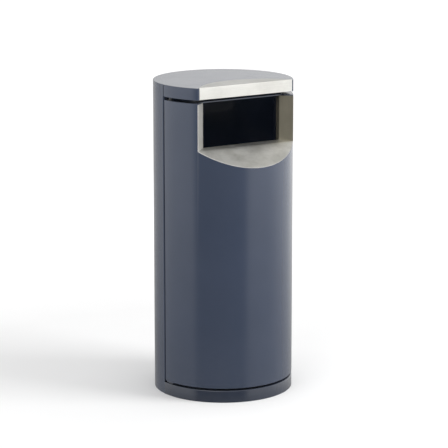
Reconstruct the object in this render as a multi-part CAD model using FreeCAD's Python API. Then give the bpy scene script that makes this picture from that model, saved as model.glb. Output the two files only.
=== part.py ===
import FreeCAD, Part
import math
import os

# Free-standing round litter bin with an ashtray, in painted and stainless steel sheet.
# Millimetres, +Z up. The origin is the centre of the casing on the ground, and the mouth faces -Y.
# The back half of the casing, the lid and the base band are one welded shell. The front half is a
# door on two hidden pivot pins at the left (-X) and a hook lock at the right (+X).

V = FreeCAD.Vector
UP = V(0, 0, 1)

# ---- casing ----------------------------------------------------------------------------------
OUTER_R = 200.0                     # outside radius of casing, door and lid
HEIGHT = 900.0                      # ground to the painted top plate
SHEET = 2.0                         # painted steel sheet
INNER_R = OUTER_R - SHEET
PLATE = 3.0                         # base plate, ribs, guides
BASE_TOP = 35.0                     # top edge of the base band
BASE_LIP = 12.0                     # width of the band's top flange, turned inwards
DOOR_BOTTOM = 41.5
DOOR_TOP = 857.0
LID_BOTTOM = 866.5                  # lower edge of the lid skirt
LID_UNDER = HEIGHT - SHEET          # underside of the top plate
SHELL_EDGE_Y = -1.0                 # front edges of the rear shell
DOOR_EDGE_Y = -6.0                  # rear edges of the door, 5 mm in front of the shell
FRONT_Y = -121.0                    # painted flat across the front of the lid
LID_CORNER_R = 4.0                  # bend where the lid skirt turns onto the flat
TOP_EDGE_R = 1.4                    # rounded rim of the top plate
FAR = 400.0                         # larger than the object, for cutting half spaces

# ---- stainless mouth -------------------------------------------------------------------------
STEEL = 1.5                         # stainless sheet
SILL_T = 2.0                        # sloping sill and ledge
MOUTH_Y = FRONT_Y - STEEL           # front plane of the trim and the cheeks' outer edges
SILL_Z = 724.0                      # height of the bend between sill and ledge
LEDGE_RISE = 4.0                    # the ledge climbs this much towards the inside
SILL_SLOPE = math.radians(31.3)     # fall of the sill towards the front
SILL_PROUD = 0.6                    # sill edge stands this far out of the door
MOUTH_IN_Y = -97.0                  # inner edge of the cheeks
LEDGE_IN_Y = MOUTH_IN_Y + SILL_T    # back face of the ledge's down flange
LEDGE_DROP_Z = 691.0                # bottom of that flange
MOUTH_HALF = 127.5                  # half width of the mouth at its inner edge
CHEEK_RETURN = 16.0                 # stiffening flange behind each cheek
TRIM_HALF = 154.0                   # half width of the lid trim
TRIM_BOTTOM = LID_BOTTOM + 1
TRIM_LENS = 78.0                    # how far the trim's curved top reaches back
TRIM_TOP_T = 1.2
STUD_XS = (-120.0, -45.0, 45.0, 120.0)
STUD_Z = 884.0
STUD_R = 2.0

# ---- hinge -----------------------------------------------------------------------------------
PIVOT = V(-188.0, -22.0, 0)         # vertical axis of the door
PIN_R = 4.0
BUSH_BORE = PIN_R + 0.05
BUSH_R = 6.0
BUSH_FLANGE_R = 8.0
RIB_IN_R = 172.0                    # ribs reach from here out to the door sheet
LOW_RIB_Z = 46.0
TOP_RIB_Z = DOOR_TOP - PLATE
TOP_BAR_BACK_Y = -75.0              # the top rib crosses the mouth as a bar back to here
BRACKET_T = 4.0
LOW_BRACKET_TOP = 40.5
TOP_BRACKET_BOTTOM = 870.0
BRACKET_X = (-196.0, -172.0)
BRACKET_Y = (-36.0, -8.0)

# ---- lock ------------------------------------------------------------------------------------
LOCK_ANGLE = math.radians(80.0)     # round from the front, towards the free edge
LOCK_Z = 505.0
BARREL_R = 9.5
PLUG_R = 6.0
BEZEL_R = 12.0
BEZEL_FACE = OUTER_R + 1.5
HOOK_T = 3.0
HOOK_IN = 180.3                     # inner face of the hook, from the casing's axis
HOUSING_IN = 184.5
FLANGE_LOCK_X = 174.0               # inner edge of the shell's strike flange
FLANGE_HINGE_X = -186.0             # inner edge of the shell's hinge side flange
FLANGE_DOOR_X = 188.0               # inner edge of the door's own flange at its free edge
FLANGE_PIVOT_X = -190.0             # inner edge of the door's own flange beside the pivots
STRIKE_X = (175.0, 196.5)
STRIKE_Z = (-30.0, 56.0)            # relative to the lock's height
STRIKE_SLOT_X = (182.0, 188.0)
STRIKE_SLOT_Z = (-7.0, 36.0)
STRIKE_SCREW_X = 185.0
STRIKE_SCREW_ZS = (-19.0, 46.0)
M4_R = 2.0
M4_NUT = 7.0                        # across flats
BUFFER_ZS = (135.0, 780.0)
BUFFER_X = 192.0

# ---- ashtray ---------------------------------------------------------------------------------
TRAY_T = 1.2
TRAY_HALF = 121.0
TRAY_Y = (-89.5, -40.0)
TRAY_Z = (676.0, 705.5)
TRAY_LIP_DROP = 7.0                 # front rim turned down into the hanger
HANGER_T = 2.0
HANGER_HALF = 110.0
HANGER_Z = (694.0, 704.0)
HANGER_Y = (LEDGE_IN_Y, -90.0)

# ---- liner -----------------------------------------------------------------------------------
LINER_R = 160.0
LINER_T = 1.2
LINER_Z = (22.0, 668.0)
BEAD_ZS = (210.0, 465.0)
BEAD_OUT = 3.0
BEAD_HALF = 7.0
RIM_WIRE_R = 2.5
HANDLE_R = 170.0
HANDLE_WIRE_R = 2.5
HANDLE_Z = 647.0
EAR_OUT = 165.0
GUIDE_ANGLES = (90.0, 210.0, 330.0)
ANCHOR_CIRCLE_R = 130.0
ANCHOR_HOLE_R = 6.5
DRAIN_R = 6.0


# ---- helpers ---------------------------------------------------------------------------------
def box(x, y, z):
    """A block between three (low, high) pairs."""
    return Part.makeBox(x[1] - x[0], y[1] - y[0], z[1] - z[0], V(x[0], y[0], z[0]))


def cyl(r, z0, z1, at=V(0, 0, 0)):
    """An upright cylinder about the point at."""
    return Part.makeCylinder(r, z1 - z0, V(at.x, at.y, z0), UP)


def ring(r_out, r_in, z0, z1, at=V(0, 0, 0)):
    return cyl(r_out, z0, z1, at).cut(cyl(r_in, z0, z1, at))


def along_y(r, x, y, z):
    """A cylinder along Y at (x, z), between the two values of y."""
    return Part.makeCylinder(r, y[1] - y[0], V(x, y[0], z), V(0, 1, 0))


def in_front_of(y):
    return box((-FAR, FAR), (-FAR, y), (-FAR, 3 * FAR))


def behind(y):
    return box((-FAR, FAR), (y, FAR), (-FAR, 3 * FAR))


def prism(points, direction):
    """A closed polygon swept along a vector."""
    wire = Part.makePolygon(points + [points[0]])
    return Part.Face(wire).extrude(direction)


def plan_prism(points, z0, z1):
    return prism([V(x, y, z0) for x, y in points], V(0, 0, z1 - z0))


def side_prism(points, half):
    """A polygon in Y and Z, swept along X from -half to half."""
    return prism([V(-half, y, z) for y, z in points], V(2 * half, 0, 0))


def hexagon(flats, z0, z1):
    radius = flats / 2 / math.cos(math.radians(30))
    corners = [(radius * math.cos(math.radians(60 * i)), radius * math.sin(math.radians(60 * i)))
               for i in range(6)]
    return plan_prism(corners, z0, z1)


def mirrored(shape):
    return shape.mirror(V(0, 0, 0), V(1, 0, 0))


def clean(shape):
    """The shape with its flush faces merged."""
    return shape.removeSplitter()


def rounded(shape, radius, wanted):
    """The shape with the edges that wanted(edge) picks rounded."""
    return shape.makeFillet(radius, [e for e in shape.Edges if wanted(e)])


def level(edge, z, tol=0.01):
    return abs(edge.BoundBox.ZMin - z) < tol and abs(edge.BoundBox.ZMax - z) < tol


# ---- casing ----------------------------------------------------------------------------------
def rear_shell():
    """Back half of the casing, ground to lid, with a return flange up each front edge."""
    wall = ring(OUTER_R, INNER_R, 0, LID_UNDER).common(behind(SHELL_EDGE_Y))
    flange_z = (DOOR_BOTTOM, LID_BOTTOM - 3)
    flange_y = (SHELL_EDGE_Y, SHELL_EDGE_Y + SHEET)
    inside = cyl(INNER_R + SHEET / 2, 0, LID_UNDER)
    lock_flange = box((FLANGE_LOCK_X, OUTER_R), flange_y, flange_z).common(inside)
    hinge_flange = box((-OUTER_R, FLANGE_HINGE_X), flange_y, flange_z).common(inside)
    window = box((STRIKE_SLOT_X[0] - 1.5, STRIKE_SLOT_X[1] + 1.0), (-FAR, 3),
                 (LOCK_Z + STRIKE_SLOT_Z[0] - 2, LOCK_Z + STRIKE_SLOT_Z[1] + 3))
    shell = wall.fuse([lock_flange.cut(window), hinge_flange])
    for dz in STRIKE_SCREW_ZS:
        shell = shell.cut(along_y(M4_R, STRIKE_SCREW_X, (-2, 3), LOCK_Z + dz))
    for z in BUFFER_ZS:
        shell = shell.cut(along_y(M4_R, BUFFER_X, (-2, 3), z))
    return clean(shell)


def base_band():
    """Front half of the band that the door hangs over, its top flange turned inwards."""
    lip = ring(INNER_R, INNER_R - BASE_LIP, BASE_TOP - SHEET, BASE_TOP)
    notch = box((BRACKET_X[0] - 4, BRACKET_X[1] + 1), (BRACKET_Y[0] - 1, BRACKET_Y[1] + 1),
                (0, BASE_TOP + 1))
    band = ring(OUTER_R, INNER_R, 0, BASE_TOP).fuse(lip.cut(notch))
    return clean(band.common(in_front_of(SHELL_EDGE_Y)))


def base_plate():
    """Round floor of the casing, with four anchor holes and a drain."""
    plate = cyl(INNER_R - 0.05, 0, PLATE)
    for quarter in range(4):
        a = math.radians(45 + 90 * quarter)
        at = V(ANCHOR_CIRCLE_R * math.cos(a), ANCHOR_CIRCLE_R * math.sin(a), 0)
        plate = plate.cut(cyl(ANCHOR_HOLE_R, 0, PLATE, at))
    return plate.cut(cyl(DRAIN_R, 0, PLATE))


def lid_outline(inset, corner):
    """The lid's plan, a disc cut off across the front, drawn in by inset, as a face at height 0."""
    radius = OUTER_R - inset
    front = FRONT_Y + inset
    half = math.sqrt(radius**2 - front**2)
    arc = Part.Arc(V(half, front, 0), V(0, radius, 0), V(-half, front, 0)).toShape()
    chord = Part.makeLine(V(-half, front, 0), V(half, front, 0))
    slab = Part.Face(Part.Wire([arc, chord])).extrude(V(0, 0, 1))
    slab = rounded(slab, corner, lambda e: e.BoundBox.ZLength > 0.9)
    return [f for f in slab.Faces if f.BoundBox.ZMax < 0.01][0]


def lid_solid(inset, corner, z0, z1):
    face = lid_outline(inset, corner)
    face.translate(V(0, 0, z0))
    return face.extrude(V(0, 0, z1 - z0))


def top_plate():
    plate = lid_solid(0, LID_CORNER_R, LID_UNDER, HEIGHT)
    return rounded(plate, TOP_EDGE_R, lambda e: level(e, HEIGHT))


def lid_skirt():
    """Strip round the front of the lid, with a lip under its flat."""
    outer = lid_solid(0, LID_CORNER_R, LID_BOTTOM, LID_UNDER)
    inner = lid_solid(SHEET, LID_CORNER_R - SHEET, LID_BOTTOM, LID_UNDER)
    strip = outer.cut(inner).common(in_front_of(SHELL_EDGE_Y))
    half = TRIM_HALF - 8
    lip = box((-half, half), (FRONT_Y, FRONT_Y + 15), (LID_BOTTOM, LID_BOTTOM + SHEET))
    strip = strip.fuse(lip)
    for x in STUD_XS:
        strip = strip.cut(along_y(STUD_R + 0.3, x, (FRONT_Y - 1, FRONT_Y + SHEET + 1), STUD_Z))
    return clean(strip)


def lid_trim():
    """Stainless angle on the front of the lid: a band, and a curved leaf lying on the top plate."""
    band = box((-TRIM_HALF, TRIM_HALF), (MOUTH_Y, FRONT_Y), (TRIM_BOTTOM, HEIGHT + TRIM_TOP_T))
    left, back, right = V(-TRIM_HALF, FRONT_Y, 0), V(0, FRONT_Y + TRIM_LENS, 0), V(TRIM_HALF, FRONT_Y, 0)
    leaf = Part.Face(Part.Wire([Part.Arc(left, back, right).toShape(), Part.makeLine(right, left)]))
    leaf.translate(V(0, 0, HEIGHT))
    trim = clean(band.fuse(leaf.extrude(V(0, 0, TRIM_TOP_T))))
    front_top = lambda e: level(e, HEIGHT + TRIM_TOP_T) and abs(e.BoundBox.YMax - MOUTH_Y) < 0.01
    trim = rounded(trim, 1.0, front_top)
    studs = [along_y(STUD_R, x, (FRONT_Y - 0.5, FRONT_Y + 10), STUD_Z) for x in STUD_XS]
    return clean(trim.fuse(studs))


def trim_nuts():
    """Four nuts that hold the trim's studs, behind the skirt."""
    turn = FreeCAD.Rotation(V(1, 0, 0), -90)
    nuts = []
    for x in STUD_XS:
        nut = hexagon(M4_NUT, 0, 3.2).cut(cyl(STUD_R, 0, 3.2))
        nut.Placement = FreeCAD.Placement(V(x, FRONT_Y + SHEET, STUD_Z), turn)
        nuts.append(nut)
    return Part.makeCompound(nuts)


# ---- door ------------------------------------------------------------------------------------
def sill_top(y):
    """Height of the sloping sill's upper face at y."""
    return SILL_Z - math.tan(SILL_SLOPE) * (MOUTH_Y - y)


def cheek_line():
    """Outer and inner end of the right cheek's front face in plan, and its outward unit normal."""
    outer = V(math.sqrt((OUTER_R + SILL_PROUD)**2 - MOUTH_Y**2), MOUTH_Y, 0)
    inner = V(MOUTH_HALF, MOUTH_IN_Y, 0)
    run = (inner - outer).normalize()
    return outer, inner, V(run.y, -run.x, 0)


def cheek_back(x):
    """Y of the right cheek's back face at x."""
    outer, inner, normal = cheek_line()
    base = outer + normal * STEEL
    run = inner - outer
    return base.y + (x - base.x) * run.y / run.x


def slant(thickness):
    """Height of a cut straight down through the sloping sill."""
    return thickness / math.cos(SILL_SLOPE)


def under_bend_y():
    """Y of the bend on the underside of the sill."""
    return MOUTH_Y + (slant(SILL_T) - SILL_T) / math.tan(SILL_SLOPE)


def mouth_void():
    """What the door loses at the mouth, in front of the cheeks and above the sill's underside."""
    wide = OUTER_R + 60
    corner_x = MOUTH_HALF + STEEL
    plan = [(-wide, -FAR), (wide, -FAR), (wide, cheek_back(wide)), (corner_x, cheek_back(corner_x)),
            (-corner_x, cheek_back(corner_x)), (-wide, cheek_back(wide))]
    above = [(-FAR, sill_top(-FAR) - slant(SILL_T)), (under_bend_y(), SILL_Z - SILL_T),
             (0, SILL_Z - SILL_T), (0, 3 * FAR), (-FAR, 3 * FAR)]
    return plan_prism(plan, 0, 3 * FAR).common(side_prism(above, FAR))


def lock_frame(shape):
    """Moves a shape from the lock's frame: X to the free edge, Y up, Z out through the door."""
    out = V(math.sin(LOCK_ANGLE), -math.cos(LOCK_ANGLE), 0)
    along = V(math.cos(LOCK_ANGLE), math.sin(LOCK_ANGLE), 0)
    frame = FreeCAD.Matrix(along.x, 0, out.x, 0, along.y, 0, out.y, 0, 0, 1, 0, LOCK_Z, 0, 0, 0, 1)
    return shape.transformed(frame)


def door_flanges():
    """Flanges up the door's free edge and its hinge edge."""
    y = (DOOR_EDGE_Y - SHEET, DOOR_EDGE_Y)
    z = (DOOR_BOTTOM + 1.5, DOOR_TOP - 1.5)
    flanges = box((FLANGE_DOOR_X, OUTER_R), y, z).fuse(box((-OUTER_R, FLANGE_PIVOT_X), y, z))
    return flanges.common(cyl(INNER_R + SHEET / 2, 0, HEIGHT))


def door_panel():
    """Front half of the casing, cut away at the mouth."""
    sheet = ring(OUTER_R, INNER_R, DOOR_BOTTOM, DOOR_TOP).common(in_front_of(DOOR_EDGE_Y))
    sheet = sheet.cut(mouth_void()).fuse(door_flanges())
    return clean(sheet.cut(lock_frame(cyl(BARREL_R + 0.2, INNER_R - 8, OUTER_R + 8))))


def door_bottom_rib():
    """Half ring inside the foot of the door. It carries the lower bush."""
    rib = ring(INNER_R, RIB_IN_R, LOW_RIB_Z, LOW_RIB_Z + PLATE).common(in_front_of(DOOR_EDGE_Y))
    return rib.cut(cyl(BUSH_R, 0, HEIGHT, PIVOT)).cut(door_flanges())


def door_top_rib():
    """Plate at the head of the door. It ties the two sides together over the mouth."""
    rib = ring(INNER_R, RIB_IN_R, TOP_RIB_Z, DOOR_TOP).common(in_front_of(DOOR_EDGE_Y))
    bar = box((-OUTER_R, OUTER_R), (MOUTH_IN_Y, TOP_BAR_BACK_Y), (TOP_RIB_Z, DOOR_TOP))
    rib = clean(rib.fuse(bar.common(cyl(INNER_R, 0, HEIGHT))))
    return rib.cut(mouth_void()).cut(cyl(BUSH_R, 0, HEIGHT, PIVOT)).cut(door_flanges())


def sill_plate():
    """One folded stainless sheet: sloping sill, ledge, and a flange down inside."""
    tip_y = -OUTER_R - 10
    ledge_z = SILL_Z + LEDGE_RISE
    profile = [(tip_y, sill_top(tip_y)), (MOUTH_Y, SILL_Z), (LEDGE_IN_Y, ledge_z),
               (LEDGE_IN_Y, LEDGE_DROP_Z), (MOUTH_IN_Y, LEDGE_DROP_Z), (MOUTH_IN_Y, ledge_z - 1.2 * SILL_T),
               (under_bend_y(), SILL_Z - SILL_T), (tip_y, sill_top(tip_y) - slant(SILL_T))]
    sheet = side_prism(profile, OUTER_R)
    sheet = rounded(sheet, 1.8, lambda e: level(e, ledge_z))
    outer, inner, _ = cheek_line()
    back = V(inner.x, LEDGE_IN_Y, 0)
    corners = [outer, inner, back, V(-back.x, back.y, 0), V(-inner.x, inner.y, 0), V(-outer.x, outer.y, 0)]
    front = Part.Arc(corners[-1], V(0, -OUTER_R - SILL_PROUD, 0), outer).toShape()
    plan = Part.Face(Part.Wire([Part.makePolygon(corners), front]))
    return clean(sheet.common(plan.extrude(V(0, 0, HEIGHT))))


def right_cheek():
    """Splayed side of the mouth with a return flange behind it."""
    outer, inner, normal = cheek_line()
    behind_inner = (MOUTH_HALF + STEEL, cheek_back(MOUTH_HALF + STEEL))
    back_y = MOUTH_IN_Y + CHEEK_RETURN
    wide = outer.x + 4
    plan = [(outer.x, outer.y), (inner.x, inner.y), (MOUTH_HALF, back_y), (MOUTH_HALF + STEEL, back_y),
            behind_inner, (wide, cheek_back(wide)), (wide, cheek_back(wide) - 4)]
    strip = plan_prism(plan, SILL_Z - SILL_T, TOP_RIB_Z)
    return strip.common(cyl(OUTER_R + SILL_PROUD, 0, HEIGHT))


def left_cheek():
    return mirrored(right_cheek())


# ---- hinge -----------------------------------------------------------------------------------
def hinge_bracket(foot, plate):
    """A folded C of plate: a foot on the casing, a leg on the inside and a shelf for the pin."""
    low, high = min(foot[0], plate[0]), max(foot[1], plate[1])
    leg = box((BRACKET_X[1] - BRACKET_T, BRACKET_X[1]), BRACKET_Y, (low, high))
    shelf = box(BRACKET_X, BRACKET_Y, plate).cut(cyl(PIN_R, 0, HEIGHT, PIVOT))
    bracket = leg.fuse([shelf, box(BRACKET_X, BRACKET_Y, foot)])
    return clean(bracket.common(cyl(INNER_R - 1.5, 0, HEIGHT)))


def lower_hinge_bracket():
    return hinge_bracket((PLATE, PLATE + BRACKET_T), (LOW_BRACKET_TOP - BRACKET_T, LOW_BRACKET_TOP))


def upper_hinge_bracket():
    return hinge_bracket((LID_UNDER - BRACKET_T, LID_UNDER),
                         (TOP_BRACKET_BOTTOM, TOP_BRACKET_BOTTOM + BRACKET_T))


def lower_hinge_pin():
    """Pin pressed up through the lower bracket, with a head below it."""
    shelf = LOW_BRACKET_TOP - BRACKET_T
    pin = cyl(PIN_R, shelf - 3, LOW_RIB_Z + 16, PIVOT).fuse(cyl(PIN_R + 2.5, shelf - 3, shelf, PIVOT))
    return clean(rounded(pin, 1.0, lambda e: level(e, LOW_RIB_Z + 16)))


def upper_hinge_pin():
    """Pin dropped down through the upper bracket, with a head above it."""
    shelf = TOP_BRACKET_BOTTOM + BRACKET_T
    pin = cyl(PIN_R, TOP_RIB_Z - 10, shelf + 3, PIVOT).fuse(cyl(PIN_R + 2.5, shelf, shelf + 3, PIVOT))
    return clean(rounded(pin, 1.0, lambda e: level(e, TOP_RIB_Z - 10)))


def lower_hinge_bush():
    """Flanged bush in the bottom rib. Its flange carries the door on the bracket."""
    barrel = ring(BUSH_R, BUSH_BORE, LOW_RIB_Z, LOW_RIB_Z + PLATE + 3, PIVOT)
    return clean(barrel.fuse(ring(BUSH_FLANGE_R, BUSH_BORE, LOW_BRACKET_TOP + 0.3, LOW_RIB_Z, PIVOT)))


def upper_hinge_bush():
    """Flanged bush in the left top rib."""
    top = TOP_RIB_Z + PLATE
    barrel = ring(BUSH_R, BUSH_BORE, TOP_RIB_Z - 3, top, PIVOT)
    return clean(barrel.fuse(ring(BUSH_FLANGE_R, BUSH_BORE, top, top + 2, PIVOT)))


# ---- lock ------------------------------------------------------------------------------------
def lock_housing():
    """Body of the lock: a bezel on the door and a barrel through it."""
    bezel = rounded(cyl(BEZEL_R, OUTER_R, BEZEL_FACE), 0.8, lambda e: level(e, BEZEL_FACE))
    body = bezel.fuse(cyl(BARREL_R, HOUSING_IN, OUTER_R))
    return lock_frame(clean(body.cut(cyl(PLUG_R + 0.05, HOUSING_IN, BEZEL_FACE))))


def lock_nut():
    nut = hexagon(24.0, INNER_R - 4.6, INNER_R - 0.6)
    return lock_frame(nut.cut(cyl(BARREL_R, HOUSING_IN, OUTER_R)))


def lock_plug():
    """Turning core, with a three-cornered post at the bottom of a round socket."""
    cam_face = HOOK_IN + HOOK_T
    face = BEZEL_FACE - 0.5
    plug = cyl(PLUG_R, cam_face, face).cut(cyl(4.8, face - 7, face))
    corners = [(3.6 * math.cos(math.radians(90 + 120 * i)), 3.6 * math.sin(math.radians(90 + 120 * i)))
               for i in range(3)]
    plug = plug.fuse(plan_prism(corners, face - 7, face - 1)).cut(cyl(2.5, cam_face, cam_face + 7))
    return lock_frame(clean(plug))


def cam_screw():
    """Screw that holds the hook to the plug."""
    screw = cyl(4.5, HOOK_IN - 3.2, HOOK_IN).fuse(cyl(2.5, HOOK_IN, HOOK_IN + HOOK_T + 7))
    socket = hexagon(4.0, HOOK_IN - 3.2, HOOK_IN - 1.2)
    return lock_frame(clean(screw.cut(socket)))


def hook_cam():
    """Hooked tongue, shown unlocked, pointing up. It turns a quarter to point at the strike."""
    low, high = HOOK_IN, HOOK_IN + HOOK_T
    boss = cyl(9.0, low, high)
    arm = box((-6, 6), (0, 44), (low, high))
    nose = box((5, 15), (36, 44), (low, high))
    hook = clean(boss.fuse([arm, nose]))
    corner = lambda e: e.BoundBox.ZLength > HOOK_T - 0.1 and e.BoundBox.YMin > 43.9
    hook = rounded(hook, 2.5, corner)
    return lock_frame(hook.cut(cyl(2.5, low, high)))


def strike_plate():
    """Slotted plate behind the shell's flange, which the hook's nose drops behind."""
    back = SHELL_EDGE_Y + SHEET
    z = (LOCK_Z + STRIKE_Z[0], LOCK_Z + STRIKE_Z[1])
    slot = box(STRIKE_SLOT_X, (back - 1, back + 3), (LOCK_Z + STRIKE_SLOT_Z[0], LOCK_Z + STRIKE_SLOT_Z[1]))
    plate = box(STRIKE_X, (back, back + 2), z).cut(slot)
    for dz in STRIKE_SCREW_ZS:
        plate = plate.cut(along_y(M4_R, STRIKE_SCREW_X, (back - 1, back + 3), LOCK_Z + dz))
    return plate


def strike_screws():
    """Two screws with nuts through the flange and the strike plate."""
    parts = []
    turn = FreeCAD.Rotation(V(1, 0, 0), -90)
    for dz in STRIKE_SCREW_ZS:
        head = along_y(3.5, STRIKE_SCREW_X, (SHELL_EDGE_Y - 2.2, SHELL_EDGE_Y), LOCK_Z + dz)
        head = rounded(head, 1.0, lambda e: abs(e.BoundBox.YMax - (SHELL_EDGE_Y - 2.2)) < 0.01)
        shank = along_y(M4_R, STRIKE_SCREW_X, (SHELL_EDGE_Y, SHELL_EDGE_Y + 9), LOCK_Z + dz)
        nut = hexagon(M4_NUT, 0, 3.2)
        nut.Placement = FreeCAD.Placement(V(STRIKE_SCREW_X, SHELL_EDGE_Y + SHEET + 2, LOCK_Z + dz), turn)
        parts.append(clean(head.fuse([shank, nut])))
    return Part.makeCompound(parts)


def door_buffers():
    """Rubber stops that the closed door rests on."""
    buffers = []
    for z in BUFFER_ZS:
        pad = along_y(4.8, BUFFER_X, (DOOR_EDGE_Y + 0.3, SHELL_EDGE_Y), z)
        pad = rounded(pad, 1.0, lambda e: abs(e.BoundBox.YMax - (DOOR_EDGE_Y + 0.3)) < 0.01)
        stem = along_y(M4_R, BUFFER_X, (SHELL_EDGE_Y, SHELL_EDGE_Y + SHEET), z)
        barb = along_y(3.0, BUFFER_X, (SHELL_EDGE_Y + SHEET, SHELL_EDGE_Y + SHEET + 2), z)
        buffers.append(clean(pad.fuse([stem, barb])))
    return Part.makeCompound(buffers)


# ---- ashtray ---------------------------------------------------------------------------------
def ashtray_hanger():
    """Folded channel behind the ledge's flange. The ashtray's rim drops into it."""
    x = (-HANGER_HALF, HANGER_HALF)
    shelf = box(x, HANGER_Y, (HANGER_Z[0], HANGER_Z[0] + HANGER_T))
    upright = box(x, (HANGER_Y[1] - HANGER_T, HANGER_Y[1]), HANGER_Z)
    return clean(shelf.fuse(upright))


def trough(inset, top):
    """A block with rounded lower long edges, the size of the ashtray drawn in by inset."""
    low = TRAY_Z[0] + inset
    block = box((-TRAY_HALF + inset, TRAY_HALF - inset), (TRAY_Y[0] + inset, TRAY_Y[1] - inset), (low, top))
    return rounded(block, 8.0 - inset, lambda e: e.BoundBox.XLength > 200 and level(e, low))


def ashtray_tray():
    """Stainless trough. Its front rim turns over and hangs in the channel."""
    top = TRAY_Z[1]
    tray = trough(0, top).cut(trough(TRAY_T, top + 1))
    lip_y = HANGER_Y[0] + 1.0
    x = (-HANGER_HALF + 2, HANGER_HALF - 2)
    rim = box(x, (lip_y, TRAY_Y[0] + TRAY_T), (top - TRAY_T, top))
    lip = box(x, (lip_y, lip_y + TRAY_T), (top - TRAY_LIP_DROP, top))
    return clean(tray.fuse([rim, lip]))


# ---- liner -----------------------------------------------------------------------------------
def liner_body():
    """Galvanised bucket with two rolled beads."""
    def path(r, z_low):
        points = [(r, z_low)]
        for z in BEAD_ZS:
            points += [(r, z - BEAD_HALF), (r + BEAD_OUT, z - BEAD_HALF / 3),
                       (r + BEAD_OUT, z + BEAD_HALF / 3), (r, z + BEAD_HALF)]
        return points + [(r, LINER_Z[1])]
    outline = [(0, LINER_Z[0])] + path(LINER_R, LINER_Z[0])
    outline += path(LINER_R - LINER_T, LINER_Z[0] + LINER_T)[::-1] + [(0, LINER_Z[0] + LINER_T)]
    points = [V(r, 0, z) for r, z in outline]
    face = Part.Face(Part.makePolygon(points + [points[0]]))
    return face.revolve(V(0, 0, 0), UP, 360)


def liner_rim():
    """Wire that stiffens the bucket's mouth."""
    return Part.makeTorus(LINER_R + RIM_WIRE_R, RIM_WIRE_R, V(0, 0, LINER_Z[1] - RIM_WIRE_R), UP)


def liner_ears():
    """Two blocks on the bucket that hold the handle's ends."""
    ear = box((LINER_R - 1, EAR_OUT), (-11, 11), (HANDLE_Z - 12, HANDLE_Z + 10))
    ear = ear.cut(cyl(LINER_R, 0, HEIGHT))
    ear = ear.cut(Part.makeCylinder(HANDLE_WIRE_R + 0.05, 10, V(LINER_R + 1, 0, HANDLE_Z), V(1, 0, 0)))
    return Part.makeCompound([ear, mirrored(ear)])


def liner_handle():
    """Bail handle, lying back round the bucket, with its ends turned into the ears."""
    stub = LINER_R + 1.5
    turn = 5.0
    bend = turn * (1 - math.sqrt(0.5))
    right = [Part.makeLine(V(stub, 0, 0), V(HANDLE_R - turn, 0, 0)),
             Part.Arc(V(HANDLE_R - turn, 0, 0), V(HANDLE_R - bend, bend, 0), V(HANDLE_R, turn, 0)).toShape()]
    left = [Part.Arc(V(-HANDLE_R, turn, 0), V(bend - HANDLE_R, bend, 0), V(turn - HANDLE_R, 0, 0)).toShape(),
            Part.makeLine(V(turn - HANDLE_R, 0, 0), V(-stub, 0, 0))]
    bow = Part.Arc(V(HANDLE_R, turn, 0), V(0, HANDLE_R + turn, 0), V(-HANDLE_R, turn, 0)).toShape()
    path = Part.Wire(right + [bow] + left)
    path.translate(V(0, 0, HANDLE_Z))
    section = Part.Wire(Part.makeCircle(HANDLE_WIRE_R, V(stub, 0, HANDLE_Z), V(1, 0, 0)))
    return path.makePipeShell([section], True, False)


def liner_guides():
    """Three folded brackets on the base plate that carry and centre the bucket."""
    seat = LINER_Z[0]
    outline = [(132, PLATE), (150, PLATE), (150, seat - PLATE), (168, seat - PLATE), (168, seat + 12),
               (165, seat + 12), (165, seat), (147, seat), (147, 2 * PLATE), (132, 2 * PLATE)]
    guide = side_prism(outline, 15.0)
    guides = []
    for angle in GUIDE_ANGLES:
        copy = guide.copy()
        copy.rotate(V(0, 0, 0), UP, angle - 90)
        guides.append(copy)
    return Part.makeCompound(guides)


NODES = [rear_shell, base_band, base_plate, top_plate, lid_skirt, lid_trim, trim_nuts,
         door_panel, door_bottom_rib, door_top_rib, sill_plate, left_cheek, right_cheek, ashtray_hanger,
         lower_hinge_bracket, upper_hinge_bracket, lower_hinge_pin, upper_hinge_pin,
         lower_hinge_bush, upper_hinge_bush,
         lock_housing, lock_nut, lock_plug, cam_screw, hook_cam,
         strike_plate, strike_screws, door_buffers,
         ashtray_tray, liner_body, liner_rim, liner_ears, liner_handle, liner_guides]


def main():
    os.makedirs("parts", exist_ok=True)
    for make in NODES:
        shape = make()
        solids = shape.Solids
        if not shape.isValid() or not solids or any(s.Volume <= 0 for s in solids):
            raise ValueError(make.__name__ + " is not a valid solid")
        shape = solids[0] if len(solids) == 1 else Part.makeCompound(solids)
        shape.exportStep(os.path.join("parts", make.__name__ + ".step"))
        print(f"{make.__name__:22s} solids {len(solids)}  volume {shape.Volume:12.1f} mm3")


main()
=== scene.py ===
import math

import bmesh
import bpy
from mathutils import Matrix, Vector


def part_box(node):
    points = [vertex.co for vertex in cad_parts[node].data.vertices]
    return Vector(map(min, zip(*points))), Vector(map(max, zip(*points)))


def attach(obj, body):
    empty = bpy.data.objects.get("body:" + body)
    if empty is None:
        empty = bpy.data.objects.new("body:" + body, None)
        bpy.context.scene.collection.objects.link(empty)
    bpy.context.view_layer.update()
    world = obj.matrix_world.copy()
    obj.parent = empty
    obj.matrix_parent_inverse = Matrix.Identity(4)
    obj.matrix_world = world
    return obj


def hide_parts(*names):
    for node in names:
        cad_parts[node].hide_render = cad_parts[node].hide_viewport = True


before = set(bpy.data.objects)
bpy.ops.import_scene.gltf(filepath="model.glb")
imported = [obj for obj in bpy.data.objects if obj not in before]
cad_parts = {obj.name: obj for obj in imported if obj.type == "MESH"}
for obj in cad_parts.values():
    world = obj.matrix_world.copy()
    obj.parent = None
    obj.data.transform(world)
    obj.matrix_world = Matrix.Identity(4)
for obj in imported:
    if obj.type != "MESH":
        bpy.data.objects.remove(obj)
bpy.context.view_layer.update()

# ---- measures in metres, read from the frame where it gives them -------------------------------
SHEET = 0.002                                   # painted steel
STEEL = 0.0015                                  # stainless steel
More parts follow.
